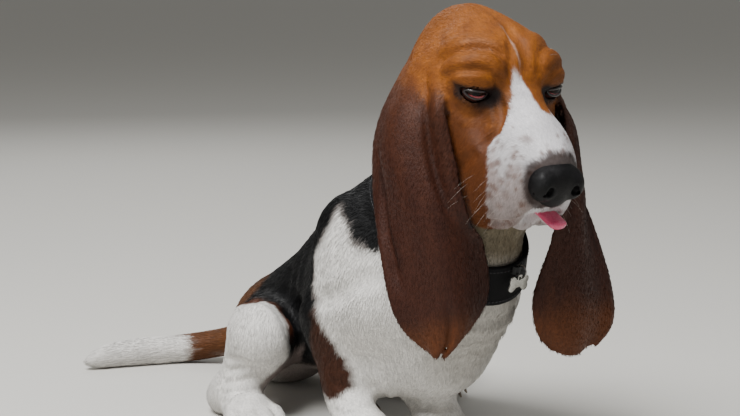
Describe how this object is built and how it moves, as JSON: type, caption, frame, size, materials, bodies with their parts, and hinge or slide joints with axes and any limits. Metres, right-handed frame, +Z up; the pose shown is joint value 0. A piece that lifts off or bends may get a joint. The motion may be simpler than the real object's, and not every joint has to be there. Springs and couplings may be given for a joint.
{
  "type": "basset hound",
  "caption": "Life-size still model of a sitting basset hound with long hanging ears, short crooked legs, its tail along the floor, and a collar with a bone-shaped tag.",
  "frame": {"origin": "on the floor, under the middle of the model's box", "axes": "+Z up; the hound faces -Y, so its right side is at -X and its rump is towards +Y"},
  "size_m": [0.3404, 0.717, 0.4463],
  "materials": {
    "coat": "short smooth hair: white, black and tan",
    "ear_coat": "short silky mahogany hair on thin leather",
    "claw_horn": "worn horn",
    "eye": "wet, dark brown",
    "nose_leather": "damp pebbled skin, near black",
    "tongue": "wet, pink",
    "webbing": "woven, black",
    "steel": "worn satin"
  },
  "bodies": {
    "root": {"head": "coat", "neck": "coat", "torso": "coat", "tail": "coat", "lower_jaw": "coat", "foreleg_right": "coat", "foreleg_left": "coat", "forepaw_right": "coat", "forepaw_left": "coat", "hindleg_right": "coat", "hindleg_left": "coat", "hindpaw_right": "coat", "hindpaw_left": "coat", "ear_right": "ear_coat", "ear_left": "ear_coat", "claw_fore_right_1": "claw_horn", "claw_fore_right_2": "claw_horn", "claw_fore_right_3": "claw_horn", "claw_fore_right_4": "claw_horn", "claw_fore_left_1": "claw_horn", "claw_fore_left_2": "claw_horn", "claw_fore_left_3": "claw_horn", "claw_fore_left_4": "claw_horn", "claw_hind_right_1": "claw_horn", "claw_hind_right_2": "claw_horn", "claw_hind_right_3": "claw_horn", "claw_hind_right_4": "claw_horn", "claw_hind_left_1": "claw_horn", "claw_hind_left_2": "claw_horn", "claw_hind_left_3": "claw_horn", "claw_hind_left_4": "claw_horn", "dewclaw_fore_right": "claw_horn", "dewclaw_fore_left": "claw_horn", "eye_right": "eye", "eye_left": "eye", "nose": "nose_leather", "tongue": "tongue", "collar": "webbing", "collar_keeper": "webbing", "tag_ring": "steel", "tag": "steel"}
  },
  "joints": []
}
